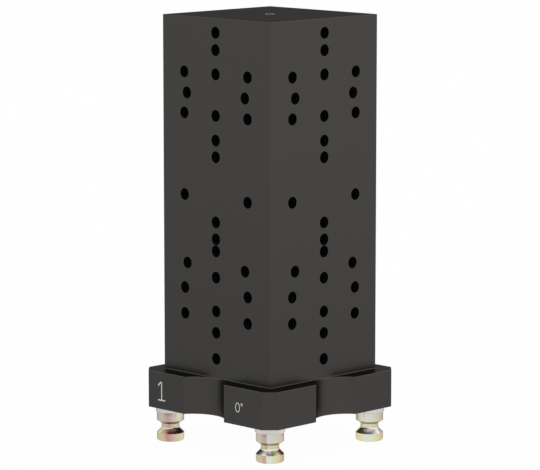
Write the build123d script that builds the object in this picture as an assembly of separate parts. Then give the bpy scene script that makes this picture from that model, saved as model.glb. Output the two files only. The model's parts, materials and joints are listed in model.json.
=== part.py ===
from build123d import *
import math
import os

# Tombstone fixture: a square column with tapped holes on its four faces, made
# in one piece with a base plate that carries four pull studs. Millimetres.
# The origin is on the column's axis at the level of the studs' lower ends,
# +Z is up, and the column's faces look along +X, -X, +Y and -Y.

# Column
column_width = 101.6
column_height = 241.3

# Base plate
plate_width = 124.6
plate_thickness = 25.4
plate_corner_chamfer = 8.0
scallop_radius = 22.0
scallop_land = 0.55        # plate left between the column's face and a scallop
root_fillet = 0.7          # between the column's foot and the plate's top
edge_break = 0.3           # small chamfer on the outer edges

# Tapped holes in the column's faces, for vises held by four screws in a cross,
# drawn plain to the end of the full thread
vise_screw_thread = 8.0
vise_screw_depth = 15.0
cross_long_reach = 30.0    # from the cross's centre to the screws further out
cross_short_reach = 27.5   # from the cross's centre to the nearer screws

# Where the crosses are centred: from the column's top, or from the plate's top
first_cross_from_top = 37.1
turned_cross_from_top = 51.05
last_cross_from_plate = 40.9
next_cross_from_plate = 58.6
turned_cross_from_plate = 75.6

# Pull studs and their locating rings
stud_spacing = 96.0
ring_diameter = 20.0
ring_stand_out = 4.0
ring_seat_depth = 4.0
ring_chamfer = 0.2
stud_thread = 12.0
drill_point_angle = 118.0
stud_hole_floor = 4.0      # plate left above the tip of a stud's hole
stud_end_gap = 1.5         # straight hole left above the end of a stud
stud_end_chamfer = 1.0
stud_diameter = 18.7       # of the flange and the head alike
flange_height = 5.9
flange_edge_break = 0.1
flange_taper_height = 1.9
flange_root_fillet = 0.5   # between the flange's underside and the neck
flange_root_land = 0.05    # flat left on the underside outside that fillet
neck_diameter = 12.2
neck_length = 3.45
neck_cone_fillet = 1.8
head_cone_height = 3.25
head_height = 5.5
head_round = 1.6
hex_across_flats = 8.0
hex_depth = 6.5
hex_mouth_chamfer = 0.6

# Clearances, on the radius
ring_seat_clearance = 0.02
ring_bore_clearance = 0.05
stud_thread_clearance = 0.05

# Levels and places worked out from the sizes above
plate_bottom = (
    ring_stand_out + flange_height + flange_taper_height
    + neck_length + head_cone_height + head_height
)
plate_top = plate_bottom + plate_thickness
column_top = plate_top + column_height
column_half = column_width / 2
scallop_centre = column_half + scallop_land + scallop_radius
stud_half = stud_spacing / 2
stud_corners = {
    "front_left": (-stud_half, -stud_half),
    "front_right": (stud_half, -stud_half),
    "back_right": (stud_half, stud_half),
    "back_left": (-stud_half, stud_half),
}
cut_over = 1.0             # how far a cutter starts outside the surface it cuts


def drill_point_height(radius):
    return radius / math.tan(math.radians(drill_point_angle / 2))


def revolved(points):
    """Solid turned about Z from a closed outline of (radius, height) points."""
    outline = make_face(Polyline(*points, close=True))
    return revolve(Plane.XZ * outline, Axis.Z)


def bore_cutter(radius, depth):
    """Cutter for a flat-ended hole that runs down from the origin."""
    cutter = Cylinder(radius, depth + cut_over)
    return Pos(0, 0, (cut_over - depth) / 2) * cutter


def drill_cutter(radius, depth):
    """The same, with a drill point below the flat end's level."""
    tip = depth + drill_point_height(radius)
    return revolved([(0, cut_over), (radius, cut_over), (radius, -depth), (0, -tip)])


# Depth of a stud's hole, and of the stud in it, from the plate's underside
stud_hole_radius = stud_thread / 2 + stud_thread_clearance
stud_hole_depth = plate_thickness - stud_hole_floor - drill_point_height(stud_hole_radius)
stud_reach = stud_hole_depth - stud_end_gap


# Tapped holes on one face

def vise_crosses():
    """Height of each cross's centre, with its reach sideways and upright."""
    first = column_top - first_cross_from_top
    plain_heights = [
        first,
        first - cross_short_reach,
        first - 3 * cross_short_reach,
        plate_top + next_cross_from_plate,
        plate_top + last_cross_from_plate,
    ]
    turned_heights = [
        column_top - turned_cross_from_top,
        plate_top + turned_cross_from_plate,
    ]
    plain = [(height, cross_long_reach, cross_short_reach) for height in plain_heights]
    turned = [(height, cross_short_reach, cross_long_reach) for height in turned_heights]
    return plain + turned


def face_screws():
    """Sideways place and height of each hole: a screw that two crosses share is drilled once."""
    screws = set()
    for height, across, upright in vise_crosses():
        level = round(height, 3)
        screws.update([(-across, level), (across, level)])
        screws.update([(0, round(height + upright, 3)), (0, round(height - upright, 3))])
    return sorted(screws)


# Body

def reach_from_axis(edge):
    """How far out an edge's middle lies, square to the nearer face."""
    middle = edge.center()
    return max(abs(middle.X), abs(middle.Y))


def body_blank():
    """Plate and column in one, with the fillet where they meet."""
    corner_blank = extrude(Rectangle(plate_width, plate_width), plate_thickness)
    plate = chamfer(corner_blank.edges().filter_by(Axis.Z), plate_corner_chamfer)
    column = extrude(Rectangle(column_width, column_width), plate_thickness + column_height)
    column = chamfer(column.edges().filter_by(Axis.Z), edge_break)
    column = chamfer(column.edges().group_by(Axis.Z)[-1], edge_break)
    blank = Pos(0, 0, plate_bottom) * (plate + column)
    on_plate_top = blank.edges().filter_by_position(Axis.Z, plate_top, plate_top)
    foot = [edge for edge in on_plate_top if reach_from_axis(edge) < column_half + edge_break]
    return fillet(foot, root_fillet)


def scallop_cutters():
    height = cut_over + plate_thickness + root_fillet
    cutter = Cylinder(scallop_radius, height, align=(Align.CENTER, Align.CENTER, Align.MIN))
    placed = Pos(scallop_centre, 0, plate_bottom - cut_over) * cutter
    return [Rot(0, 0, 90 * turn) * placed for turn in range(4)]


def screw_cutters():
    hole = bore_cutter(vise_screw_thread / 2, vise_screw_depth)
    cutters = []
    for turn in range(4):
        for side, height in face_screws():
            on_front = Pos(side, -column_half, height) * Rot(90, 0, 0) * hole
            cutters.append(Rot(0, 0, 90 * turn) * on_front)
    return cutters


def stud_cutters():
    seat = bore_cutter(ring_diameter / 2 + ring_seat_clearance, ring_seat_depth)
    hole = seat + drill_cutter(stud_hole_radius, stud_hole_depth)
    return [Pos(x, y, plate_bottom) * Rot(180, 0, 0) * hole for x, y in stud_corners.values()]


def outer_plate_edges(body):
    """Edges round the plate's outline, below and above, without the column's foot."""
    foot_line = column_half + root_fillet
    low = body.edges().filter_by_position(Axis.Z, plate_bottom, plate_bottom)
    high = body.edges().filter_by_position(Axis.Z, plate_top, plate_top)
    outside_foot = [edge for edge in high if reach_from_axis(edge) > foot_line + edge_break]
    return list(low) + outside_foot


def tombstone_body():
    body = body_blank() - scallop_cutters()
    body = chamfer(outer_plate_edges(body), edge_break)
    body = body - stud_cutters()
    return body - screw_cutters()


# Pull studs and rings, each made on its own axis with the plate's underside at Z = 0

def locating_ring():
    outer = ring_diameter / 2
    bore = stud_thread / 2 + ring_bore_clearance
    return revolved([
        (bore, ring_seat_depth),
        (outer - ring_chamfer, ring_seat_depth),
        (outer, ring_seat_depth - ring_chamfer),
        (outer, ring_chamfer - ring_stand_out),
        (outer - ring_chamfer, -ring_stand_out),
        (bore, -ring_stand_out),
    ])


def pull_stud():
    shank = stud_thread / 2
    outer = stud_diameter / 2
    neck = neck_diameter / 2
    flange_top = -ring_stand_out
    taper_top = flange_top - flange_height
    neck_top = taper_top - flange_taper_height
    cone_top = neck_top - neck_length
    head_top = cone_top - head_cone_height
    head_end = head_top - head_height
    head_corner = (outer, head_end)
    cone_corner = (neck, cone_top)
    flange_root = (neck, neck_top)
    profile = make_face(Polyline(
        (0, head_end),
        head_corner,
        (outer, head_top),
        cone_corner,
        flange_root,
        (neck + flange_root_fillet + flange_root_land, neck_top),
        (outer, taper_top),
        (outer, flange_top - flange_edge_break),
        (outer - flange_edge_break, flange_top),
        (shank, flange_top),
        (shank, stud_reach - stud_end_chamfer),
        (shank - stud_end_chamfer, stud_reach),
        (0, stud_reach),
        close=True,
    ))
    rounds = {head_corner: head_round, cone_corner: neck_cone_fillet, flange_root: flange_root_fillet}
    for corner, radius in rounds.items():
        vertex = profile.vertices().sort_by_distance((*corner, 0))[0]
        profile = fillet(vertex, radius)
    stud = revolve(Plane.XZ * profile, Axis.Z)
    return stud - hex_socket(head_end)


def hex_socket(level):
    """Cutter for the hexagon socket and its drilled floor, from the stud's lower end."""
    flat_radius = hex_across_flats / 2
    corner_radius = flat_radius / math.cos(math.radians(30))
    hexagon = extrude(RegularPolygon(flat_radius, 6, major_radius=False), hex_depth)
    floor_cone = revolved([
        (0, hex_depth),
        (flat_radius, hex_depth),
        (0, hex_depth + drill_point_height(flat_radius)),
    ])
    mouth = revolved([
        (0, 0),
        (corner_radius + hex_mouth_chamfer, 0),
        (corner_radius, hex_mouth_chamfer),
        (0, hex_mouth_chamfer),
    ])
    return Pos(0, 0, level) * (hexagon + floor_cone + mouth)


def all_parts():
    parts = {"tombstone_body": tombstone_body()}
    for corner, (x, y) in stud_corners.items():
        place = Pos(x, y, plate_bottom)
        parts["locating_ring_" + corner] = place * locating_ring()
        parts["pull_stud_" + corner] = place * pull_stud()
    return parts


os.makedirs("parts", exist_ok=True)
for name, shape in all_parts().items():
    export_step(shape, "parts/" + name + ".step")
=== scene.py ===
import json
import math

import bpy
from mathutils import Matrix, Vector


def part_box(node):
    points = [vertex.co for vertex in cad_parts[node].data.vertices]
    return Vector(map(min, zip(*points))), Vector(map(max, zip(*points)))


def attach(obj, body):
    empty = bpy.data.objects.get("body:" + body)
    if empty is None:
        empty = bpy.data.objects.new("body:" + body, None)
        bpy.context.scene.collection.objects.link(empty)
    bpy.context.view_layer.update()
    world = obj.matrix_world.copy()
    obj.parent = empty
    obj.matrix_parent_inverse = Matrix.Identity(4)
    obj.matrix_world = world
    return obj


# Looks for the tombstone fixture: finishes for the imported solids, thread ridges
# in the tapped holes, plain marks, a pale floor and soft white surroundings.
# Metres, in the solids' own frame: Z up, the column's axis at the origin.

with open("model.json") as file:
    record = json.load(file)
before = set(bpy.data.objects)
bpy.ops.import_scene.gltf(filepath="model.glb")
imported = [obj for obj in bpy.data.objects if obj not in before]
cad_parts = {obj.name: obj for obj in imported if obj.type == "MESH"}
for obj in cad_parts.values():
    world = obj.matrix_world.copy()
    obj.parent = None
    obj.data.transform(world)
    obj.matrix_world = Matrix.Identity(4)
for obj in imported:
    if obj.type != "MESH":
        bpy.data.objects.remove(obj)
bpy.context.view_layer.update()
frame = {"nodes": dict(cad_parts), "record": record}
mm = 0.001

# Sizes read from the frame
body_lo, body_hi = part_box("tombstone_body")
column_top = body_hi.z
plate_bottom = body_lo.z
plate_half = body_hi.x
mounts = frame["record"]["mounts"]
front_screws = [mount for mount in mounts if mount["name"].startswith("front_screw_")]
hole_radius = front_screws[0]["dims"]["r_mm"] * mm
column_half = -front_screws[0]["pos_m"][1]
screws = [(mount["pos_m"][0], mount["pos_m"][2]) for mount in front_screws]

# Sizes of the solids that the frame doesn't list
plate_thickness = 25.4 * mm
plate_top = plate_bottom + plate_thickness
edge_chamfer = 0.3 * mm

# Level directions, as seen from the camera
diagonal = math.sqrt(0.5)
towards_camera = (diagonal, -diagonal, 0.0)
towards_right = (diagonal, diagonal, 0.0)
towards_back = (-diagonal, diagonal, 0.0)


# Node helpers

class Nodes:
    """Short calls that add nodes to one tree and link them."""

    def __init__(self, tree):
        self.tree = tree
        tree.nodes.clear()

    def add(self, kind, **settings):
        node = self.tree.nodes.new(kind)
        for name, value in settings.items():
            setattr(node, name, value)
        return node

    def link(self, value, socket):
        """Links a socket's value, or sets a plain one."""
        if isinstance(value, bpy.types.NodeSocket):
            self.tree.links.new(value, socket)
        else:
            socket.default_value = value

    def math(self, operation, *values, clamp=False):
        node = self.add("ShaderNodeMath", operation=operation, use_clamp=clamp)
        for value, socket in zip(values, node.inputs):
            self.link(value, socket)
        return node.outputs[0]

    def above(self, value, level):
        """One where value is above the level, and zero elsewhere."""
        return self.math("GREATER_THAN", value, level)

    def below(self, value, level):
        return self.math("LESS_THAN", value, level)

    def all_of(self, *tests):
        """One where every test is one, and zero elsewhere."""
        result = tests[0]
        for test in tests[1:]:
            result = self.math("MULTIPLY", result, test)
        return result

    def vector(self, operation, *values):
        node = self.add("ShaderNodeVectorMath", operation=operation)
        for value, socket in zip(values, node.inputs):
            self.link(value, socket)
        return node.outputs["Value" if operation in ("DOT_PRODUCT", "LENGTH") else "Vector"]

    def noise(self, vector, scale, detail=2.0, roughness=0.5):
        node = self.add("ShaderNodeTexNoise")
        self.link(vector, node.inputs["Vector"])
        node.inputs["Scale"].default_value = scale
        node.inputs["Detail"].default_value = detail
        node.inputs["Roughness"].default_value = roughness
        return node.outputs["Fac"]

    def spread(self, value, low, high, from_low=0.3, from_high=0.7):
        """Maps a value, such as a noise's, onto a range, and holds it there at both ends."""
        node = self.add("ShaderNodeMapRange")
        self.link(value, node.inputs["Value"])
        node.inputs["From Min"].default_value = from_low
        node.inputs["From Max"].default_value = from_high
        node.inputs["To Min"].default_value = low
        node.inputs["To Max"].default_value = high
        return node.outputs["Result"]

    def ramp(self, value, stops):
        node = self.add("ShaderNodeValToRGB")
        self.link(value, node.inputs["Fac"])
        ramp = node.color_ramp
        while len(ramp.elements) < len(stops):
            ramp.elements.new(1.0)
        for element, (place, colour) in zip(ramp.elements, stops):
            element.position = place
            element.color = (*colour, 1.0)
        return node.outputs["Color"]

    def steps(self, value, points):
        """A curve of straight runs through (millimetres, value) points."""
        result = points[0][1]
        for (low, low_value), (high, high_value) in zip(points, points[1:]):
            rise = high_value - low_value
            part = self.spread(value, 0.0, rise, from_low=low * mm, from_high=high * mm)
            result = self.math("ADD", result, part)
        return result

    def mix_colour(self, factor, a, b, blend="MIX"):
        """Mixes two colours, which are a colour mix node's inputs 6 and 7."""
        node = self.add("ShaderNodeMix", data_type="RGBA", blend_type=blend)
        self.link(factor, node.inputs["Factor"])
        self.link(a, node.inputs[6])
        self.link(b, node.inputs[7])
        return node.outputs[2]

    def toned(self, colour, saturation=1.0, value=1.0):
        node = self.add("ShaderNodeHueSaturation")
        self.link(colour, node.inputs["Color"])
        self.link(saturation, node.inputs["Saturation"])
        self.link(value, node.inputs["Value"])
        return node.outputs[0]

    def bump(self, height, distance, strength):
        node = self.add("ShaderNodeBump")
        self.link(height, node.inputs["Height"])
        node.inputs["Distance"].default_value = distance
        node.inputs["Strength"].default_value = strength
        return node.outputs["Normal"]

    def place(self):
        """Position in the object's own metres."""
        return self.add("ShaderNodeTexCoord").outputs["Object"]

    def split(self, vector):
        node = self.add("ShaderNodeSeparateXYZ")
        self.link(vector, node.inputs[0])
        return node.outputs

    def green_of(self, colour):
        node = self.add("ShaderNodeSeparateColor")
        self.link(colour, node.inputs[0])
        return node.outputs[1]


def new_material(name):
    material = bpy.data.materials.new(name)
    material.use_nodes = True
    return material, Nodes(material.node_tree)


def new_finish(name):
    """A material with one Principled shader, which the caller sets up."""
    material, nodes = new_material(name)
    shader = nodes.add("ShaderNodeBsdfPrincipled")
    output = nodes.add("ShaderNodeOutputMaterial")
    nodes.link(shader.outputs["BSDF"], output.inputs["Surface"])
    return material, nodes, shader


# Black anodise on the body

cutter_radius = 65.0 * mm       # of the face mill that left its arcs
cutter_feed = 0.45 * mm         # from one arc to the next
facing_up = 0.9                 # a normal that rises more than this is a level top's
facing_out = 0.3                # and one that rises less than this is a side's
top_end_depth = 1.0 * mm        # how far down the column's top end counts
level_slack = 0.01 * mm         # past a chamfer's edges, so that all of it counts
hole_margin = 2.0 * mm          # each hole is further than this from the column's two ends
top_end_painted_shade = 0.30          # painted shade: share of its brightness taken off the column's top end
top_end_roughness = 0.25        # added there
hole_painted_shade = 0.85             # painted shade: share of its brightness taken off the anodise in a hole
chamfer_painted_highlight = 0.5              # painted highlight: share of brightness added on the top chamfers
darker_anodise = (0.0664, 0.0643, 0.0605)
lighter_anodise = (0.0712, 0.0691, 0.0652)


def cutter_arcs(nodes, x, y, z, normal):
    """Fine ridges in circles of one radius, stepped up each face by the feed."""
    facing_x = nodes.math("ABSOLUTE", normal[0])
    along_y = nodes.math("MULTIPLY", y, facing_x)
    along_x = nodes.math("MULTIPLY", x, nodes.math("SUBTRACT", 1.0, facing_x))
    sideways = nodes.math("ADD", along_y, along_x)
    squared = nodes.math("SUBTRACT", cutter_radius ** 2, nodes.math("MULTIPLY", sideways, sideways))
    rise = nodes.math("SQRT", nodes.math("MAXIMUM", squared, 0.0))
    arc = nodes.math("SUBTRACT", z, rise)
    return nodes.math("SINE", nodes.math("MULTIPLY", arc, 2 * math.pi / cutter_feed))


def top_chamfers(nodes, z, upward):
    """One on the narrow chamfers round the column's top and the plate's."""
    sloped = nodes.all_of(nodes.above(upward, facing_out), nodes.below(upward, facing_up))
    at_column_top = nodes.above(z, column_top - edge_chamfer - level_slack)
    half_chamfer = edge_chamfer / 2
    at_plate_top = nodes.math("COMPARE", z, plate_top - half_chamfer, half_chamfer + level_slack)
    return nodes.math("MULTIPLY", sloped, nodes.math("ADD", at_column_top, at_plate_top))


def tapped_holes(nodes, x, y, z):
    """One inside the column's tapped holes, further in than its chamfers reach."""
    from_middle = nodes.math("MAXIMUM", nodes.math("ABSOLUTE", x), nodes.math("ABSOLUTE", y))
    return nodes.all_of(
        nodes.below(from_middle, column_half - edge_chamfer),
        nodes.above(z, plate_top + hole_margin),
        nodes.below(z, column_top - hole_margin),
    )


def anodised_aluminium():
    """Black anodised aluminium: a satin skin over faint face-milling arcs."""
    material, nodes, shader = new_finish("anodised_aluminium")
    place = nodes.place()
    x, y, z = nodes.split(place)
    normal = nodes.split(nodes.add("ShaderNodeNewGeometry").outputs["Normal"])
    cloud = nodes.noise(place, 14.0, detail=3.0)
    grain = nodes.noise(place, 3200.0, roughness=0.6)
    tone = nodes.math("ADD", nodes.spread(cloud, 0.35, 0.65), nodes.spread(grain, -0.18, 0.18))
    colour = nodes.ramp(tone, [(0.0, darker_anodise), (1.0, lighter_anodise)])
    # Painted shade on the column's top end, dense black painted shade in the tapped holes, and a
    # painted highlight on the top chamfers
    near_top = nodes.above(z, column_top - top_end_depth)
    top_end = nodes.all_of(near_top, nodes.above(normal[2], facing_up))
    top_end_shade = nodes.math("MULTIPLY", top_end, top_end_painted_shade)
    hole_shade = nodes.math("MULTIPLY", tapped_holes(nodes, x, y, z), hole_painted_shade)
    chamfer_highlight = nodes.math("MULTIPLY", top_chamfers(nodes, z, normal[2]), chamfer_painted_highlight)
    painted_light_loss = nodes.math("SUBTRACT", nodes.math("ADD", top_end_shade, hole_shade), chamfer_highlight)
    shaded = nodes.toned(colour, value=nodes.math("SUBTRACT", 1.0, painted_light_loss))
    nodes.link(shaded, shader.inputs["Base Color"])
    shader.inputs["Metallic"].default_value = 1.0
    rough = nodes.math("ADD", nodes.spread(cloud, 0.335, 0.365), nodes.spread(grain, -0.02, 0.02))
    rough = nodes.math("ADD", rough, nodes.math("MULTIPLY", top_end, top_end_roughness))
    nodes.link(rough, shader.inputs["Roughness"])
    shader.inputs["Specular Tint"].default_value = (0.38, 0.38, 0.38, 1.0)
    arcs = nodes.math("MULTIPLY", cutter_arcs(nodes, x, y, z, normal), 0.12)
    nodes.link(nodes.bump(nodes.math("ADD", arcs, grain), 0.004 * mm, 0.5), shader.inputs["Normal"])
    return material


def thread_painted_shade():
    """Threads of the tapped holes: dense black painted shade, far darker than the body's anodise,
    with a trace of oil.
    """
    material, nodes, shader = new_finish("tapped_thread_painted_shade")
    grain = nodes.noise(nodes.place(), 2600.0)
    # Painted shade: near-black colour in place of the anodise, for the shade deep in the holes
    colour = nodes.ramp(grain, [(0.3, (0.0030, 0.0030, 0.0029)), (0.7, (0.0050, 0.0049, 0.0047))])
    nodes.link(colour, shader.inputs["Base Color"])
    shader.inputs["Metallic"].default_value = 1.0
    nodes.link(nodes.spread(grain, 0.34, 0.46), shader.inputs["Roughness"])
    shader.inputs["Specular Tint"].default_value = (0.02, 0.02, 0.02, 1.0)
    nodes.link(nodes.bump(grain, 0.006 * mm, 0.5), shader.inputs["Normal"])
    return material


# The zinc's passivate film, as tones and as bands of them round each pull stud. On the cones some
# tones stand in for painted highlights and painted dark reflections.
# A band's angle is taken about the stud's own axis from the fixture's front
# right corner, and grows towards its back right corner.
film_tones = {
    "cream": (0.66, 0.62, 0.49),
    "light_cream": (0.77, 0.73, 0.59),
    "peach": (0.70, 0.60, 0.51),
    "pink": (0.64, 0.495, 0.44),
    "mauve": (0.62, 0.41, 0.40),
    "silver": (0.80, 0.80, 0.76),
    "grey_silver": (0.73, 0.735, 0.70),
    "pale_green": (0.75, 0.765, 0.63),
    "light_green": (0.82, 0.83, 0.69),
    "straw": (0.74, 0.70, 0.53),
    "bright_straw": (0.84, 0.80, 0.58),
    "gold": (0.92, 0.78, 0.50),
    "bronze": (0.50, 0.40, 0.25),
    "tan": (0.64, 0.47, 0.33),
    "rust": (0.64, 0.32, 0.20),
    "plum": (0.42, 0.21, 0.25),
    "olive": (0.58, 0.54, 0.35),
    "steel": (0.52, 0.52, 0.51),
    "bright": (0.92, 0.93, 0.90),
}
seam = 0.5                      # degrees, how sharply two neighbouring bands can meet
film_bands = {
    "pull_stud_front_left": [
        (-120, "straw"), (-60, "cream"), (-45, "cream"), (-30, "peach"), (-20, "pink"),
        (-10, "mauve"), (4, "pink"), (18, "peach"), (32, "straw"), (45, "straw"),
        (58, "light_green"), (75, "light_green"), (120, "silver"), (150, "straw")],
    "pull_stud_front_right": [
        (-140, "silver"), (-90, "pale_green"), (-60, "cream"), (-40, "peach"), (-28, "pink"),
        (-15 - seam, "pink"), (-15 + seam, "silver"), (0, "silver"), (10, "pale_green"),
        (30, "straw"), (50, "peach"), (68, "pink"), (100, "straw"), (140, "silver")],
    "pull_stud_back_right": [
        (-150, "straw"), (-100, "peach"), (-62, "light_cream"), (-45, "straw"),
        (-25, "pale_green"), (-14, "grey_silver"), (0, "grey_silver"), (10, "pale_green"),
        (28, "straw"), (50, "cream"), (70, "peach"), (110, "pink"), (150, "straw")],
    "pull_stud_back_left": [
        (-150, "silver"), (-110, "straw"), (-70, "peach"), (-35, "pink"), (-10, "cream"),
        (20, "pale_green"), (60, "silver"), (100, "straw"), (130, "mauve"), (150, "silver")],
}

# The same on the cone above each stud's head, where the bands hold film tones and also paint in
# reflections: the bright bands are painted highlights and the darkest ones painted dark reflections
cone_tones_and_reflections = {
    "pull_stud_front_left": [
        (-120, "steel"), (-85, "bright_straw"), (-55, "bright_straw"), (-42, "bronze"),
        (-30, "tan"), (-18, "rust"), (0, "plum"), (80, "plum"), (130, "steel")],
    "pull_stud_front_right": [
        (-130, "steel"), (-45, "steel"), (-32, "bright"), (-5, "bright"), (12, "olive"),
        (26, "olive"), (40, "gold"), (62, "rust"), (100, "tan"), (140, "steel")],
    "pull_stud_back_right": [
        (-100, "tan"), (-45, "gold"), (-30, "bright"), (0, "bright"), (18, "grey_silver"),
        (30, "grey_silver"), (42, "bright"), (58, "steel"), (110, "grey_silver")],
    "pull_stud_back_left": [
        (-120, "gold"), (-60, "steel"), (-20, "bright"), (20, "olive"), (70, "grey_silver"),
        (120, "rust")],
}

# How the finish changes up a stud, as (millimetres above its lower end, value)
# points. The head ends at 5.5, the cone at 8.75, the neck at 12.2, and the flange's
# rim runs from 14.1 to 20.
film_saturation = [(5.4, 1.6), (9.2, 1.1), (11.9, 1.1), (12.2, 1.8), (12.5, 1.0)]
# Brightness up a stud is painted shade: a little lower on the neck, and a dark shadow line under the
# flange
film_painted_shade = [(5.4, 1.03), (9.2, 0.95), (11.8, 0.95), (12.1, 0.45), (12.5, 0.45), (12.8, 1.0)]
pink_deepening = [(17.6, 0.0), (20.0, 0.8)]
neck_share = [(8.9, 0.0), (9.2, 1.0), (11.6, 1.0), (12.2, 0.0)]
cone_share = [(5.5, 0.0), (5.6, 1.0), (8.5, 1.0), (9.1, 0.0)]
# A painted highlight round the root of the cone
painted_highlight_share = [(8.45, 0.0), (8.6, 0.6), (8.95, 0.6), (9.15, 0.0)]
metal_share = [(19.8, 1.0), (19.9, 0.4)]
edge_roughness = [(19.8, 0.0), (19.9, 0.3)]
neck_tint = (1.0, 0.97, 0.86, 1.0)
painted_highlight_zinc = (0.98, 0.96, 0.90, 1.0)
turning_pitch = 0.12 * mm       # from one turning line to the next


def banded(nodes, turn, bands):
    """Colour by angle, where turn is the angle's share of a whole turn, plus a half."""
    return nodes.ramp(turn, [(0.5 + angle / 360, film_tones[tone]) for angle, tone in bands])


def yellow_zinc(stud):
    """Zinc plate with an iridescent yellow passivate, over fine turning lines."""
    material, nodes, shader = new_finish("yellow_zinc_" + stud)
    lowest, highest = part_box(stud)
    place = nodes.place()
    z = nodes.split(place)[2]
    from_axis = nodes.vector("SUBTRACT", place, (*((lowest + highest) / 2).xy, 0.0))
    to_right = nodes.vector("DOT_PRODUCT", from_axis, towards_right)
    to_front = nodes.vector("DOT_PRODUCT", from_axis, towards_camera)
    turn = nodes.math("DIVIDE", nodes.math("ARCTAN2", to_right, to_front), 2 * math.pi)
    # The bands' borders wander a little round their angles
    patch = nodes.noise(nodes.vector("MULTIPLY", place, (1.0, 1.0, 0.45)), 210.0)
    turn = nodes.math("ADD", turn, nodes.spread(patch, 0.492, 0.508))
    film = banded(nodes, turn, film_bands[stud])
    cone_tone_and_reflection = banded(nodes, turn, cone_tones_and_reflections[stud])
    # Pink is deeper towards the flange's upper edge
    pinkness = nodes.spread(nodes.green_of(film), 0.9, 0.0, from_low=0.50, from_high=0.62)
    deepening = nodes.math("MULTIPLY", pinkness, nodes.steps(z, pink_deepening))
    deeper = nodes.add("ShaderNodeGamma")
    nodes.link(film, deeper.inputs["Color"])
    nodes.link(nodes.math("ADD", 1.0, deepening), deeper.inputs["Gamma"])
    # Below the flange the film is stronger and yellower on the neck; painted shade darkens the neck
    # and paints a dark shadow line under the flange
    saturation = nodes.steps(z, film_saturation)
    brightness = nodes.steps(z, film_painted_shade)
    toned = nodes.toned(deeper.outputs[0], saturation, brightness)
    on_neck = nodes.steps(z, neck_share)
    yellower = nodes.mix_colour(on_neck, toned, neck_tint, blend="MULTIPLY")
    # On the cone, film tones with painted highlights and painted dark reflections
    on_cone = nodes.steps(z, cone_share)
    colour = nodes.mix_colour(on_cone, yellower, cone_tone_and_reflection)
    # A painted highlight: a bright line round the root of the cone
    colour = nodes.mix_colour(nodes.steps(z, painted_highlight_share), colour, painted_highlight_zinc)
    nodes.link(colour, shader.inputs["Base Color"])
    # The flange's upper edge is dull where it was deburred
    nodes.link(nodes.steps(z, metal_share), shader.inputs["Metallic"])
    grain = nodes.noise(place, 1800.0)
    rough = nodes.math("ADD", nodes.spread(patch, 0.13, 0.18), nodes.spread(grain, -0.03, 0.03))
    rough = nodes.math("ADD", rough, nodes.math("MULTIPLY", on_cone, 0.09))
    rough = nodes.math("ADD", rough, nodes.steps(z, edge_roughness))
    nodes.link(rough, shader.inputs["Roughness"])
    shader.inputs["Specular Tint"].default_value = (0.66, 0.61, 0.55, 1.0)
    wobble = nodes.math("MULTIPLY", nodes.noise(place, 60.0, detail=1.0), 8.0)
    along = nodes.math("MULTIPLY", z, 2 * math.pi / turning_pitch)
    turns = nodes.math("MULTIPLY", nodes.math("SINE", nodes.math("ADD", along, wobble)), 0.2)
    nodes.link(nodes.bump(nodes.math("ADD", turns, grain), 0.003 * mm, 0.5), shader.inputs["Normal"])
    return material


def ground_steel():
    """Bright ground steel with fine lines round the ring."""
    material, nodes, shader = new_finish("ground_steel")
    place = nodes.place()
    lines = nodes.noise(nodes.vector("MULTIPLY", place, (0.05, 0.05, 1.0)), 9000.0)
    cloud = nodes.noise(place, 180.0)
    colour = nodes.ramp(cloud, [(0.3, (0.727, 0.720, 0.713)), (0.7, (0.764, 0.758, 0.751))])
    nodes.link(colour, shader.inputs["Base Color"])
    shader.inputs["Metallic"].default_value = 1.0
    rough = nodes.math("ADD", nodes.spread(cloud, 0.20, 0.25), nodes.spread(lines, -0.03, 0.03))
    nodes.link(rough, shader.inputs["Roughness"])
    shader.inputs["Specular Tint"].default_value = (0.75, 0.75, 0.75, 1.0)
    nodes.link(nodes.bump(lines, 0.003 * mm, 0.4), shader.inputs["Normal"])
    return material


def etched_mark():
    """Laser-bleached anodise: pale, matt and finely speckled."""
    material, nodes, shader = new_finish("etched_mark")
    speck = nodes.noise(nodes.place(), 5200.0, detail=3.0, roughness=0.7)
    colour = nodes.ramp(speck, [(0.25, (0.48, 0.48, 0.47)), (0.75, (0.74, 0.74, 0.72))])
    nodes.link(colour, shader.inputs["Base Color"])
    nodes.link(nodes.spread(speck, 0.6, 0.8), shader.inputs["Roughness"])
    shader.inputs["Specular IOR Level"].default_value = 0.3
    nodes.link(nodes.bump(speck, 0.008 * mm, 0.6), shader.inputs["Normal"])
    return material


def finish_solids():
    anodise = anodised_aluminium()
    steel = ground_steel()
    for name, node in frame["nodes"].items():
        if name.startswith("pull_stud"):
            finish = yellow_zinc(name)
        elif name.startswith("locating_ring"):
            finish = steel
        else:
            finish = anodise
        for slot in node.material_slots:
            slot.material = finish


finish_solids()


# New pieces

def new_mesh(name, verts, faces, material):
    mesh = bpy.data.meshes.new(name)
    mesh.from_pydata(verts, [], faces)
    mesh.validate()
    mesh.materials.append(material)
    return mesh


def new_piece(name, mesh, turn=0.0):
    piece = bpy.data.objects.new(name, mesh)
    bpy.context.scene.collection.objects.link(piece)
    piece.rotation_euler = (0.0, 0.0, turn)
    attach(piece, "root")


# Thread ridges in the tapped holes: M8 coarse

thread_pitch = 1.25 * mm
thread_minor_radius = 3.35 * mm
thread_lead_in = 0.45 * mm      # plain wall between the face and the first turn
thread_length = 12.0 * mm
segments_a_turn = 28
root_sink = 0.05 * mm           # how far a ridge's foot sits in the hole's wall
fade_in_turns = 0.6             # over which a ridge rises from the wall
fade_out_turns = 0.4            # over which it sinks back at its inner end
crest_half = 0.10 * thread_pitch
foot_spread = 0.33 * thread_pitch   # how much wider a full ridge's foot is than its crest, each way
thread_sharp_angle = 35         # degrees between faces, past which an edge isn't smoothed


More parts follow.
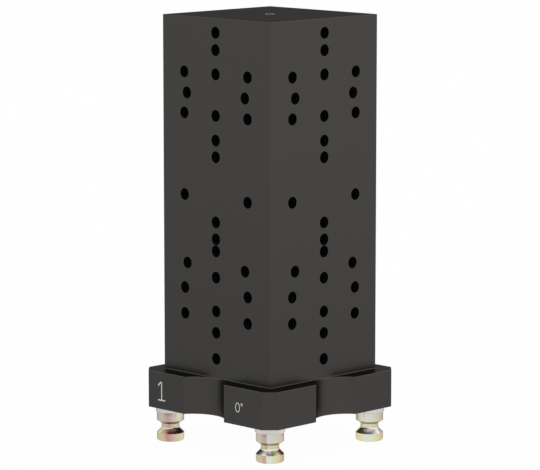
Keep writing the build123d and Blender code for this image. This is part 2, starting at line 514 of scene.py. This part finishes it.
def thread_ridge():
    """One helical ridge, its axis along +Y from a hole's mouth at the origin."""
    turns = (thread_length - thread_lead_in) / thread_pitch
    count = int(turns * segments_a_turn)
    foot = hole_radius + root_sink
    verts = []
    for step in range(count + 1):
        angle = 2 * math.pi * step / segments_a_turn
        middle = thread_lead_in + thread_pitch / 2 + thread_pitch * step / segments_a_turn
        fade_in = step / (fade_in_turns * segments_a_turn)
        fade_out = (count - step) / (fade_out_turns * segments_a_turn)
        height = min(1.0, fade_in, fade_out)
        crest = foot + (thread_minor_radius - foot) * height
        foot_half = crest_half + foot_spread * height
        section = [(foot, -foot_half), (crest, -crest_half), (crest, crest_half), (foot, foot_half)]
        for radius, offset in section:
            verts.append((radius * math.cos(angle), middle + offset, radius * math.sin(angle)))
    faces = []
    for step in range(count):
        base = 4 * step
        for edge in range(3):
            faces.append((base + edge, base + edge + 1, base + edge + 5, base + edge + 4))
    return verts, faces


def thread_pieces():
    """The ridges of one face's holes as one mesh, used again on each face."""
    ridge, ridge_faces = thread_ridge()
    verts = []
    faces = []
    for side, level in screws:
        first = len(verts)
        verts += [(vx + side, vy - column_half, vz + level) for vx, vy, vz in ridge]
        faces += [tuple(first + index for index in face) for face in ridge_faces]
    mesh = new_mesh("screw_threads_front", verts, faces, thread_painted_shade())
    mesh.shade_smooth()
    mesh.set_sharp_from_angle(angle=math.radians(thread_sharp_angle))
    for number, side in enumerate(("front", "right", "back", "left")):
        new_piece("screw_threads_" + side, mesh, turn=number * math.pi / 2)


thread_pieces()


# Marks: flat strokes with round ends, laid just off the surface. Their shapes are
# in millimetres.

mark_lift = 0.012 * mm
lift_gain = 0.015               # share of the lift added for each face laid before
mark_material = etched_mark()


def stroke(points, width, round_steps=6):
    """A line of even width through points, as vertices and faces in the plane."""
    points = [Vector(point) for point in points]
    verts = []
    faces = []
    for start, end in zip(points, points[1:]):
        along = (end - start).normalized()
        base = math.atan2(along.y, along.x)
        first = len(verts)
        for centre, turn in ((end, base - math.pi / 2), (start, base + math.pi / 2)):
            for step in range(round_steps + 1):
                angle = turn + math.pi * step / round_steps
                u = centre.x + width / 2 * math.cos(angle)
                v = centre.y + width / 2 * math.sin(angle)
                verts.append((u, v))
        faces.append(tuple(range(first, len(verts))))
    return verts, faces


def loop(centre, radii, steps):
    """Points round an oval."""
    angles = [2 * math.pi * step / steps for step in range(steps)]
    return [(centre[0] + radii[0] * math.cos(angle), centre[1] + radii[1] * math.sin(angle))
            for angle in angles]


def band(centre, radii, width, steps=36):
    """A closed ring of even width round an oval, as vertices and faces in the plane."""
    outer = loop(centre, (radii[0] + width / 2, radii[1] + width / 2), steps)
    inner = loop(centre, (radii[0] - width / 2, radii[1] - width / 2), steps)
    faces = []
    for step in range(steps):
        after = (step + 1) % steps
        faces.append((step, after, steps + after, steps + step))
    return outer + inner, faces


def mark(name, shapes, origin, across, up, outward):
    """Lays flat shapes on the surface at origin, as one piece."""
    verts = []
    faces = []
    for shape_verts, shape_faces in shapes:
        first = len(verts)
        layer = mark_lift * (1 + lift_gain * len(faces))
        for u, v in shape_verts:
            verts.append(tuple(origin + across * (u * mm) + up * (v * mm) + outward * layer))
        faces += [tuple(first + index for index in face) for face in shape_faces]
    new_piece(name, new_mesh(name, verts, faces, mark_material))


right_way = Vector((1, 0, 0))
up_way = Vector((0, 0, 1))
front_way = Vector((0, -1, 0))
back_way = Vector((0, 1, 0))

number_width = 0.9
number_origin = Vector((-42.0 * mm, -plate_half, plate_bottom + 6.2 * mm))
face_number = [
    stroke([(-2.6, 10.0), (0.6, 13.0), (0.6, 0.0)], number_width),
    stroke([(-2.6, 0.0), (3.8, 0.0)], number_width),
]
mark("face_number_mark", face_number, number_origin, right_way, up_way, front_way)

angle_origin = Vector((32.0 * mm, -plate_half, plate_bottom + 9.0 * mm))
zero_angle = [band((0.0, 3.0), (1.9, 3.0), 0.6), band((3.9, 5.4), (0.75, 0.75), 0.45)]
mark("face_angle_mark", zero_angle, angle_origin, right_way, up_way, front_way)

centre_width = 0.4
top_centre = Vector((0, 0, column_top))
centre_mark = [
    stroke([(-5.0, 0.0), (5.0, 0.0)], centre_width),
    stroke([(0.0, -5.0), (0.0, 5.0)], centre_width),
    band((0.0, 0.0), (2.4, 2.4), centre_width),
]
mark("top_centre_mark", centre_mark, top_centre, right_way, back_way, up_way)


# Floor, soft white surroundings and camera

even_light = 0.974              # how bright the surroundings are overhead and behind the camera
right_gain = 0.058              # how much brighter they are on the camera's right
back_loss = 0.40                # how much dimmer they are behind the fixture
floor_radius = 4.5
floor_sides = 96
floor_white = 0.97
glow_share = 0.97               # of what the camera and metal see of the floor
# Painted shade and light in the floor's glow as metal sees it, as (metres from the fixture's middle,
# level) points: dimmest at 0.176 m round the fixture, lighter under it
floor_glow_painted_shade = [(0.08, 0.93), (0.176, 0.755), (1.6, 1.0)]
camera_distance = 2.03922       # from the column's axis
camera_above_top = 0.15566
camera_dip = 8.512              # degrees below level
camera_lens = 203.22            # millimetres
sensor_width = 36.0             # millimetres


def surroundings(nodes, direction):
    """Brightness in a direction: stronger on the camera's right, weaker behind the fixture."""
    to_right = nodes.vector("DOT_PRODUCT", direction, towards_right)
    to_back = nodes.math("MAXIMUM", nodes.vector("DOT_PRODUCT", direction, towards_back), 0.0)
    side_light = nodes.math("ADD", even_light, nodes.math("MULTIPLY", to_right, right_gain))
    behind = nodes.math("MULTIPLY", nodes.math("POWER", to_back, 2.0), back_loss)
    return nodes.math("SUBTRACT", side_light, behind)


def seen_as_white(nodes, brightness):
    """The given brightness for reflections, and plain white for the camera."""
    camera_ray = nodes.add("ShaderNodeLightPath").outputs["Is Camera Ray"]
    other_ray = nodes.math("SUBTRACT", 1.0, camera_ray)
    return nodes.math("ADD", camera_ray, nodes.math("MULTIPLY", brightness, other_ray))


def pale_floor():
    """Matt white that keeps the fixture's shadow, and glows for the camera and for metal."""
    material, nodes = new_material("pale_floor")
    matt = nodes.add("ShaderNodeBsdfDiffuse")
    matt.inputs["Color"].default_value = (floor_white, floor_white, floor_white, 1.0)
    glow = nodes.add("ShaderNodeEmission")
    place = nodes.place()
    around = surroundings(nodes, nodes.vector("NORMALIZE", place))
    farthest = floor_glow_painted_shade[-1][0]
    stops = [(distance / farthest, (level, level, level)) for distance, level in floor_glow_painted_shade]
    near = nodes.ramp(nodes.math("DIVIDE", nodes.vector("LENGTH", place), farthest), stops)
    brightness = nodes.math("MULTIPLY", around, near)
    nodes.link(seen_as_white(nodes, brightness), glow.inputs["Strength"])
    rays = nodes.add("ShaderNodeLightPath").outputs
    mirrored = nodes.math("ADD", rays["Is Glossy Ray"], rays["Is Transmission Ray"])
    glowing = nodes.math("ADD", rays["Is Camera Ray"], mirrored, clamp=True)
    mix = nodes.add("ShaderNodeMixShader")
    nodes.link(nodes.math("MULTIPLY", glowing, glow_share), mix.inputs["Fac"])
    nodes.link(matt.outputs[0], mix.inputs[1])
    nodes.link(glow.outputs[0], mix.inputs[2])
    output = nodes.add("ShaderNodeOutputMaterial")
    nodes.link(mix.outputs[0], output.inputs["Surface"])
    return material


def build_floor():
    verts = [(x, y, 0.0) for x, y in loop((0.0, 0.0), (floor_radius, floor_radius), floor_sides)]
    mesh = new_mesh("floor", verts, [tuple(range(floor_sides))], pale_floor())
    floor = bpy.data.objects.new("floor", mesh)
    bpy.context.scene.collection.objects.link(floor)


def build_world():
    world = bpy.data.worlds.new("soft_white")
    bpy.context.scene.world = world
    world.use_nodes = True
    nodes = Nodes(world.node_tree)
    background = nodes.add("ShaderNodeBackground")
    background.inputs["Color"].default_value = (1.0, 1.0, 1.0, 1.0)
    direction = nodes.add("ShaderNodeTexCoord").outputs["Generated"]
    brightness = seen_as_white(nodes, surroundings(nodes, direction))
    nodes.link(brightness, background.inputs["Strength"])
    output = nodes.add("ShaderNodeOutputWorld")
    nodes.link(background.outputs[0], output.inputs["Surface"])


def build_camera():
    """Long lens, 45 degrees round from the front and a little above the top."""
    data = bpy.data.cameras.new("camera")
    data.sensor_width = sensor_width
    data.lens = camera_lens
    camera = bpy.data.objects.new("camera", data)
    bpy.context.scene.collection.objects.link(camera)
    side = camera_distance / math.sqrt(2)
    camera.location = (side, -side, column_top + camera_above_top)
    camera.rotation_euler = (math.radians(90 - camera_dip), 0.0, math.radians(45))
    bpy.context.scene.camera = camera


build_floor()
build_world()
build_camera()
bpy.context.scene.view_settings.view_transform = "Standard"
